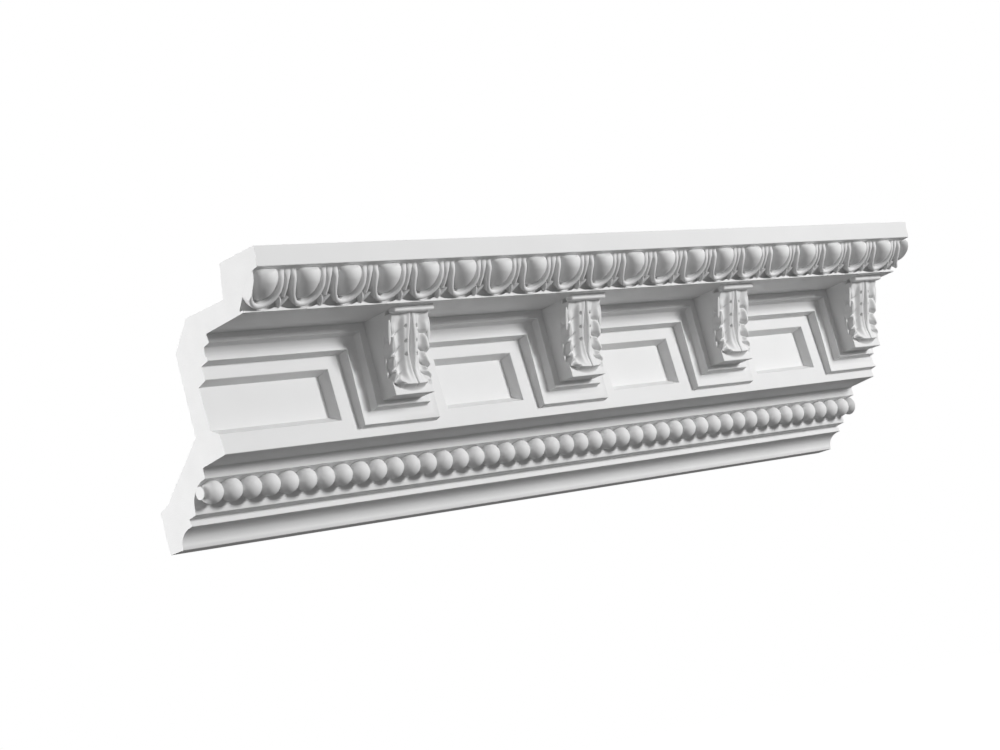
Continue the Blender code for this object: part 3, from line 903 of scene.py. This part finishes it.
@dataclass
class Leaf:
    """A hanging acanthus leaf: a grooved midrib, dished lobes with raised edges, eyes and a curled tip.

    A place on it is its distance from the midrib, side, and how far down it is, share, from 0 to 1.
    A pair is where something starts and ends: distances from the midrib where its name ends in side,
    shares of the half width in edge_share and skirt_share, shares of a lobe in lobe_swell and
    lobe_fall, and else shares of the length. The leaf is sunk by tuck, to stay clear of the block's
    own face.
    """

    length: float = 0.0576
    half_width: float = 0.0226
    last_half_width: float = 0.0224
    narrowing: Pair = (0.45, 0.85)
    tip_half_width: float = 0.0150
    tip_edge: float = 0.24
    tip_hollow: float = 2.0
    tip_neck: Pair = (0.855, 0.890)
    tip_roundness: float = 2.2
    tip_least: float = 0.03
    arc_least: float = 0.0001
    thickness: float = 0.0031
    root_depth: float = 0.0066
    columns: int = 120
    rows: int = 140
    crowding: float = 1.25
    folds: tuple[Fold, ...] = (
        Fold(0.0064, 0.170, 0.293),
        Fold(0.0064, 0.352, 0.540),
        Fold(0.0064, 0.517, 0.733),
        Fold(0.0090, 0.700, 0.875, drilled=False),
    )
    notch_depth: float = 0.0032
    notch_fade: Pair = (0.84, 0.87)
    lobe_skew: float = 1.3
    lobe_roundness: float = 0.55
    eye_radius: float = 0.0015
    eye_depth: float = 0.0032
    eye_floor_share: float = 0.45
    groove_least_half: float = 0.0005
    groove_half: float = 0.0026
    groove_opening: Pair = (0.04, 0.38)
    groove_closing: Pair = (0.50, 0.74)
    groove_depth: float = 0.0034
    groove_loss: float = 0.7
    groove_shallowing: Pair = (0.55, 0.90)
    groove_end: Pair = (0.92, 0.97)
    groove_floor_share: float = 0.5
    groove_wall: float = 0.0006
    rib_rise: float = 0.0012
    rib_away: float = 0.0019
    rib_half: float = 0.0018
    inner_fade: Pair = (0.72, 0.92)
    dish_depth: float = 0.0044
    dish_first_depth: float = 0.0016
    dish_deepening: Pair = (0.01, 0.16)
    dish_side: Pair = (0.0068, 0.0122)
    dish_rim: Pair = (0.02, 0.30)
    dish_rim_side: Pair = (0.0136, 0.0192)
    first_line: float = -0.2
    last_line: float = 1.3
    fold_bow: float = 0.85
    fold_most: float = 1.1
    lobe_rise: float = 0.0013
    lobe_swell: Pair = (0.0, 0.6)
    lobe_fall: Pair = (0.72, 1.0)
    lobe_side: Pair = (0.0095, 0.0180)
    crease_depth: float = 0.0027
    crease_half: float = 0.0006
    crease_widening: float = 0.0010
    crease_widening_start: float = 0.0100
    crease_side: Pair = (0.0085, 0.0165)
    vein_rise: float = 0.00011
    vein_side: Pair = (0.0080, 0.0130)
    veins: int = 2
    edge_fall: float = 0.0014
    edge_start: Pair = (0.02, 0.40)
    edge_share: Pair = (0.78, 0.95)
    curl: float = 0.0035
    curl_rise: Pair = (0.70, 0.93)
    curl_crown: float = 0.30
    corner_fall: float = 0.75
    corner_start: Pair = (0.74, 0.87)
    corner_side: Pair = (0.0150, 0.0195)
    skirt_foot: float = -0.0036
    skirt_share: Pair = (0.935, 1.0)
    skirt_flare: float = 1.5
    tuck: float = 1e-5

    def lobe_part(self, share: float) -> float:
        """Tell how far down its lobe the leaf's edge is.

        Args:
            share: how far down the leaf.

        Returns:
            A number from 0 to 1, and 0 past the last fold.
        """
        start = 0.0
        for fold in self.folds:
            if share < fold.notch:
                return (share - start) / (fold.notch - start)
            start = fold.notch
        return 0.0

    def half(self, share: float) -> float:
        """Tell the leaf's half width.

        Args:
            share: how far down the leaf.

        Returns:
            The half width there.
        """
        half = blend(self.half_width, self.last_half_width, ease(*self.narrowing, share))
        bulge = math.sin(math.pi * self.lobe_part(share) ** self.lobe_skew) ** self.lobe_roundness
        if share > self.folds[0].notch / 2:
            half -= self.notch_depth * (1 - bulge) * (1 - ease(*self.notch_fade, share))
        half = blend(half, self.tip_half_width, ease(*self.tip_neck, share))
        tip = max(0.0, self.tip_part(share))
        return half * math.sqrt(max(self.tip_least, 1 - tip ** self.tip_roundness))

    def tip_part(self, share: float) -> float:
        """Tell how far down the curled tip a place is, from 0 at its start to 1."""
        return (share - self.tip_neck[1]) / (1 - self.tip_neck[1])

    def midrib(self, side: float, share: float) -> float:
        """Tell how much the grooved midrib adds.

        Args:
            side: the distance from the midrib.
            share: how far down the leaf.

        Returns:
            The rise of the ribs beside the groove, less the groove's depth.
        """
        least = self.groove_least_half
        opening = (self.groove_half - least) * ease(*self.groove_opening, share)
        open_half = least + opening * (1 - ease(*self.groove_closing, share))
        depth = self.groove_depth * (1 - self.groove_loss * ease(*self.groove_shallowing, share))
        depth *= 1 - ease(*self.groove_end, share)
        wall = ease(open_half * self.groove_floor_share, open_half + self.groove_wall, side)
        rib = self.rib_rise * math.exp(-((side - open_half - self.rib_away) / self.rib_half) ** 2)
        return rib * (1 - ease(*self.inner_fade, share)) - depth * (1 - wall)

    def dish(self, side: float, share: float) -> float:
        """Tell how much the hollow between the midrib and the lobes' raised edges takes away."""
        depth = blend(self.dish_first_depth, self.dish_depth, ease(*self.dish_deepening, share))
        rim = ease(*self.dish_rim_side, side) * ease(*self.dish_rim, share)
        return depth * (1 - ease(*self.inner_fade, share)) * ease(*self.dish_side, side) * (1 - rim)

    def lobes(self, side: float, share: float) -> float:
        """Tell how much the lobes add: each swells downwards to a crease, with faint veins along it.

        Args:
            side: the distance from the midrib.
            share: how far down the leaf.

        Returns:
            The rise of the lobe there, less the depth of the crease.
        """
        start = self.first_line
        end = self.last_line
        for fold in self.folds:
            reach = max(0.0, (side - fold.root_side) / (self.half_width - fold.root_side))
            line = blend(fold.root, fold.notch, min(self.fold_most, reach) ** self.fold_bow)
            if share < line:
                end = line
                break
            start = line
        part = (share - start) / (end - start)
        swell = self.lobe_rise * ease(*self.lobe_swell, part) * (1 - ease(*self.lobe_fall, part))
        near = min(share - start, end - share) * self.length
        widening = ease(self.crease_widening_start, self.half_width, side)
        crease_half = self.crease_half + self.crease_widening * widening
        crease = self.crease_depth * math.exp(-(near / crease_half) ** 2) * ease(*self.crease_side, side)
        vein = self.vein_rise * math.cos(2 * math.pi * self.veins * part) * ease(*self.vein_side, side)
        return swell * ease(*self.lobe_side, side) - crease - vein

    def eyes(self, side: float, share: float) -> float:
        """Tell how much the drilled eyes take away.

        Args:
            side: the distance from the midrib.
            share: how far down the leaf.

        Returns:
            The depth of the eyes there.
        """
        sunk = 0.0
        for fold in self.folds:
            if fold.drilled:
                away = math.hypot(side - fold.root_side, (share - fold.root) * self.length)
                wall = ease(self.eye_radius * self.eye_floor_share, self.eye_radius, away)
                sunk += self.eye_depth * (1 - wall)
        return sunk

    def height(self, across: float, side: float, share: float) -> float:
        """Tell how high the leaf stands over the block's front.

        Args:
            across: the place across, as a share of the half width there.
            side: the distance from the midrib.
            share: how far down the leaf.

        Returns:
            The height square to the block's front.
        """
        across = abs(across)
        height = self.thickness + self.midrib(side, share) - self.dish(side, share)
        height += self.lobes(side, share) - self.eyes(side, share)
        height -= self.edge_fall * ease(*self.edge_start, share) * ease(*self.edge_share, across)
        height += self.curl * ease(*self.curl_rise, share) * (1 - self.curl_crown * across ** 2)
        height *= 1 - self.corner_fall * ease(*self.corner_start, share) * ease(*self.corner_side, side)
        height = blend(height, self.skirt_foot, ease(*self.skirt_share, across) ** self.skirt_flare)
        return height * (1 - self.under(side, share)) ** self.tip_hollow - self.tuck

    def under(self, side: float, share: float) -> float:
        """Tell how far down the tip's hollow underside a place is, from 0 at its edge to 1 at the block."""
        arc = math.sqrt(max(self.arc_least, 1 - (side / self.tip_half_width) ** 2))
        return min(1.0, max(0.0, (self.tip_part(share) / arc - self.tip_edge) / (1 - self.tip_edge)))


@dataclass(frozen=True)
class SideLeaf:
    """A small leaf that stands on a block's side: its level, how far it is behind the front, and its size."""

    drop: float
    behind: float
    half_length: float
    half_depth: float = 0.0012
    half_width: float = 0.0020
    sides: int = 20
    rings: int = 16


@dataclass
class Bracket:
    """A raked block under the soffit with a small bar and a hanging leaf on its front."""

    index: int
    centre: float
    top_out: float = 0.0306
    bottom_out: float = 0.0160
    sag: float = 0.0040
    sag_skew: float = 1.4
    bed_depth: float = 0.0030
    bed_edge_depth: float = 0.0068
    bed_edge_width: float = 0.0036
    bed_start: float = 0.14
    bed_end: float = 0.84
    bed_edge_end: float = 0.74
    bed_fade: float = 0.09
    front_steps: int = 22
    bar_height: float = 0.0050
    bar_out: float = 0.0080
    bar_depth: float = 0.0082
    bar_overhang: float = 0.0008
    bar_rounding: float = 0.0018
    leaf_top_gap: float = -0.0006
    leaf_bottom_gap: float = 0.0018
    side_leaves: tuple[SideLeaf, ...] = (
        SideLeaf(0.0632, -0.0004, 0.0098),
        SideLeaf(0.0912, 0.0044, 0.0080),
    )
    leaf: Leaf = field(default_factory=Leaf)

    def front(self, drop: float) -> float:
        """Tell how far the block's raked and slightly hollow front stands out.

        Args:
            drop: the level.

        Returns:
            The distance out from the wall.
        """
        wall_out = SECTION.top("wrap_quirk")[0]
        share = (drop - SECTION.top("wrap_fillet")[1]) / BLOCK_HEIGHT
        sag = self.sag * math.sin(math.pi * min(1.0, max(0.0, share)) ** self.sag_skew)
        return wall_out + blend(self.top_out, self.bottom_out, share) - sag

    def eased(self, rings: list[list[Vector]], bevel: float) -> Mesh:
        """Make a block with eased edges.

        Args:
            rings: its outline at several distances along.
            bevel: how far its edges are rounded.

        Returns:
            The block.
        """
        mesh = bmesh.new()
        sweep(mesh, rings)
        bmesh.ops.bevel(mesh, geom=mesh.edges[:], offset=bevel, offset_type="OFFSET",
                        segments=ROUND_FACETS, profile=0.5, affect="EDGES", material=-1, clamp_overlap=True)
        return mesh

    def block(self) -> Mesh:
        """Make the raked block, hollowed a little under its leaf, most along its two edges.

        Returns:
            The block.
        """
        top = SECTION.top("soffit")[1] - BURY
        foot = SECTION.top("wrap_fillet")[1] + BLOCK_HEIGHT
        back = SECTION.top("frieze")[0] - BURY
        half = BLOCK_WIDTH / 2
        inner = half - self.bed_edge_width
        rings = []
        for along in (-half, -inner, inner, half):
            depth, end = self.bed_depth, self.bed_end
            if abs(along) == half:
                depth, end = self.bed_edge_depth, self.bed_edge_end
            ring = []
            for step in range(self.front_steps + 1):
                share = step / self.front_steps
                drop = blend(top, foot, share)
                bed = depth * ease(0.0, self.bed_start, share) * (1 - ease(end, end + self.bed_fade, share))
                ring.append(place(self.centre + along, self.front(drop) - bed, drop))
            ring += [place(self.centre + along, back, drop) for drop in (foot, top)]
            rings.append(ring)
        return self.eased(rings, ARRIS)

    def bar(self) -> Mesh:
        """Make the small round-fronted bar between the leaf and the soffit.

        Returns:
            The bar.
        """
        top = SECTION.top("soffit")[1]
        front = self.front(top) + self.bar_out
        corners = [(front, top - BURY), (front, top + self.bar_height),
                   (front - self.bar_depth, top + self.bar_height), (front - self.bar_depth, top - BURY)]
        half = BLOCK_WIDTH / 2 + self.bar_overhang
        rings = [[place(self.centre + side.value * half, *corner) for corner in corners] for side in Side]
        return self.eased(rings, self.bar_rounding)

    def hanging_leaf(self) -> Mesh:
        """Shape a fine grid into the leaf, on a back that is rooted in the block.

        Returns:
            The leaf.
        """
        top = SECTION.top("soffit")[1] + self.bar_height + self.leaf_top_gap
        foot = SECTION.top("wrap_fillet")[1] + BLOCK_HEIGHT - self.leaf_bottom_gap
        mesh = bmesh.new()
        bmesh.ops.create_grid(mesh, x_segments=self.leaf.columns, y_segments=self.leaf.rows, size=1.0)
        grown = bmesh.ops.extrude_face_region(mesh, geom=mesh.faces[:], use_keep_orig=True)["geom"]
        backs = {part for part in grown if isinstance(part, bmesh.types.BMVert)}
        for vert in mesh.verts:
            across = vert.co.x
            share = 1 - ((1 + vert.co.y) / 2) ** self.leaf.crowding
            side = across * self.leaf.half(share)
            drop = blend(top, foot, share)
            rise = -self.leaf.root_depth if vert in backs else self.leaf.height(across, abs(side), share)
            vert.co = place(self.centre + side, self.front(drop) + rise, drop)
        return mesh

    def side_leaf(self, leaf: SideLeaf, side: Side) -> Mesh:
        """Make a small leaf on one side of the block, raked as its front is.

        Args:
            leaf: its place and size.
            side: the side that it is on.

        Returns:
            The small leaf.
        """
        mesh = bmesh.new()
        made = bmesh.ops.create_uvsphere(mesh, u_segments=leaf.sides, v_segments=leaf.rings,
                                         radius=1.0)["verts"]
        along = self.centre + side.value * BLOCK_WIDTH / 2
        for vert in made:
            drop = leaf.drop - vert.co.z * leaf.half_length
            out = self.front(drop) - leaf.behind + vert.co.y * leaf.half_depth
            vert.co = place(along + vert.co.x * leaf.half_width, out, drop)
        return mesh

    def build(self) -> Piece:
        """Put the block, the bar, the leaf and the small side leaves together.

        Returns:
            The bracket as one piece.
        """
        parts = [self.block(), self.bar(), self.hanging_leaf()]
        parts += [self.side_leaf(leaf, side) for leaf in self.side_leaves for side in Side]
        whole = gather(parts)
        return make_piece(f"bracket_{self.index}", whole)


@dataclass
class Lamp:
    """A soft oblong studio lamp that looks at a point."""

    name: str
    spot: Triple
    aim: Triple
    width: float
    height: float
    power: float

    def build(self) -> None:
        """Hang the lamp."""
        data = bpy.data.lights.new(self.name, "AREA")
        data.shape = "RECTANGLE"
        data.size = self.width
        data.size_y = self.height
        data.energy = self.power
        lamp = bpy.data.objects.new(self.name, data)
        lamp.location = self.spot
        lamp.rotation_euler = (Vector(self.aim) - Vector(self.spot)).to_track_quat("-Z", "Y").to_euler()
        bpy.context.scene.collection.objects.link(lamp)


@dataclass
class Studio:
    """The pale floor, the dim soft sky that shows white, and the lamps."""

    floor_level: float = -0.60
    floor_size: float = 24.0
    floor_shade: float = 0.85
    floor_roughness: float = 0.9
    floor_glow: float = 0.80
    sky_from: float = -0.5
    sky_to: float = 0.8
    sky_low: float = 0.165
    sky_high: float = 0.34
    lamps: tuple[Lamp, ...] = (
        Lamp("key", (2.7, -4.7, 1.3), (0.0, -0.1, 0.1), 1.1, 1.2, 250.0),
        Lamp("left_fill", (-2.6, -1.9, 0.2), (0.0, -0.1, 0.1), 1.6, 1.6, 3.5),
        Lamp("end_light", (-2.4, 0.9, 0.4), (-0.44, -0.05, 0.08), 1.0, 1.0, 43.0),
    )

    def floor(self) -> None:
        """Lay the plain pale floor, which the camera sees but which lights nothing."""
        mesh = bmesh.new()
        bmesh.ops.create_grid(mesh, x_segments=1, y_segments=1, size=self.floor_size / 2,
                              matrix=Matrix.Translation((0.0, 0.0, self.floor_level)))
        floor = make_piece("studio_floor", mesh)
        material = bpy.data.materials.new("studio_floor")
        material.use_nodes = True
        shader = material.node_tree.nodes["Principled BSDF"]
        set_inputs(shader, {"Base Color": (*[self.floor_shade] * 3, 1.0), "Roughness": self.floor_roughness,
                            "Emission Color": WHITE, "Emission Strength": self.floor_glow})
        floor.data.materials.append(material)
        floor.visible_diffuse = False
        floor.visible_glossy = False

    def sky(self) -> None:
        """Make a sky that lights softly, dimmest from below, and that shows plain white."""
        world = bpy.data.worlds.new("studio_sky")
        bpy.context.scene.world = world
        world.use_nodes = True
        nodes = world.node_tree.nodes
        links = world.node_tree.links
        glow = nodes["Background"]
        up = nodes.new("ShaderNodeSeparateXYZ")
        links.new(nodes.new("ShaderNodeTexCoord").outputs["Generated"], up.inputs["Vector"])
        rise = nodes.new("ShaderNodeMapRange")
        set_inputs(rise, {"From Min": self.sky_from, "From Max": self.sky_to,
                          "To Min": self.sky_low, "To Max": self.sky_high})
        links.new(up.outputs["Z"], rise.inputs["Value"])
        links.new(rise.outputs["Result"], glow.inputs["Strength"])
        set_inputs(glow, {"Color": WHITE})
        white = nodes.new("ShaderNodeBackground")
        set_inputs(white, {"Color": WHITE})
        seen = nodes.new("ShaderNodeMixShader")
        links.new(nodes.new("ShaderNodeLightPath").outputs["Is Camera Ray"], seen.inputs["Fac"])
        links.new(glow.outputs["Background"], seen.inputs[1])
        links.new(white.outputs["Background"], seen.inputs[2])
        links.new(seen.outputs["Shader"], nodes["World Output"].inputs["Surface"])

    def build(self) -> None:
        """Set the whole studio up."""
        self.floor()
        self.sky()
        for lamp in self.lamps:
            lamp.build()
        bpy.context.scene.view_settings.view_transform = "Standard"
        bpy.context.scene.view_settings.look = "None"


@dataclass
class PhotoCamera:
    """A camera low at the left end that looks up along the moulding."""

    eye: Triple = (-1.577, -1.4676, -0.2106)
    right: Triple = (0.6891673, -0.68125751, -0.24685348)
    up: Triple = (0.06862192, -0.27778133, 0.95819026)
    lens: float = 82.8
    sensor: float = 36.0
    nearest: float = 0.05
    farthest: float = 60.0

    def build(self) -> None:
        """Set the camera up and make it the scene's own."""
        data = bpy.data.cameras.new("photo_camera")
        data.lens = self.lens
        data.sensor_width = self.sensor
        data.clip_start = self.nearest
        data.clip_end = self.farthest
        camera = bpy.data.objects.new("photo_camera", data)
        right = Vector(self.right)
        up = Vector(self.up)
        turn = Matrix((right, up, right.cross(up))).transposed().to_4x4()
        camera.matrix_world = Matrix.Translation(self.eye) @ turn
        bpy.context.scene.collection.objects.link(camera)
        bpy.context.scene.camera = camera


def main() -> None:
    """Build every piece in order, dress it and set the studio up around it."""
    logging.basicConfig(level=logging.INFO, format="%(name)s: %(message)s")
    wardrobe = Wardrobe(PRIMED.build(), SAWN.build())
    wardrobe.dress(MouldingRun().build())
    wardrobe.dress(EggAndDart().build())
    wardrobe.dress(BeadString().build())
    for index, centre in enumerate(bracket_centres(), start=1):
        wardrobe.dress(Bracket(index, centre).build())
    Studio().build()
    PhotoCamera().build()


if __name__ == "__main__":
    main()
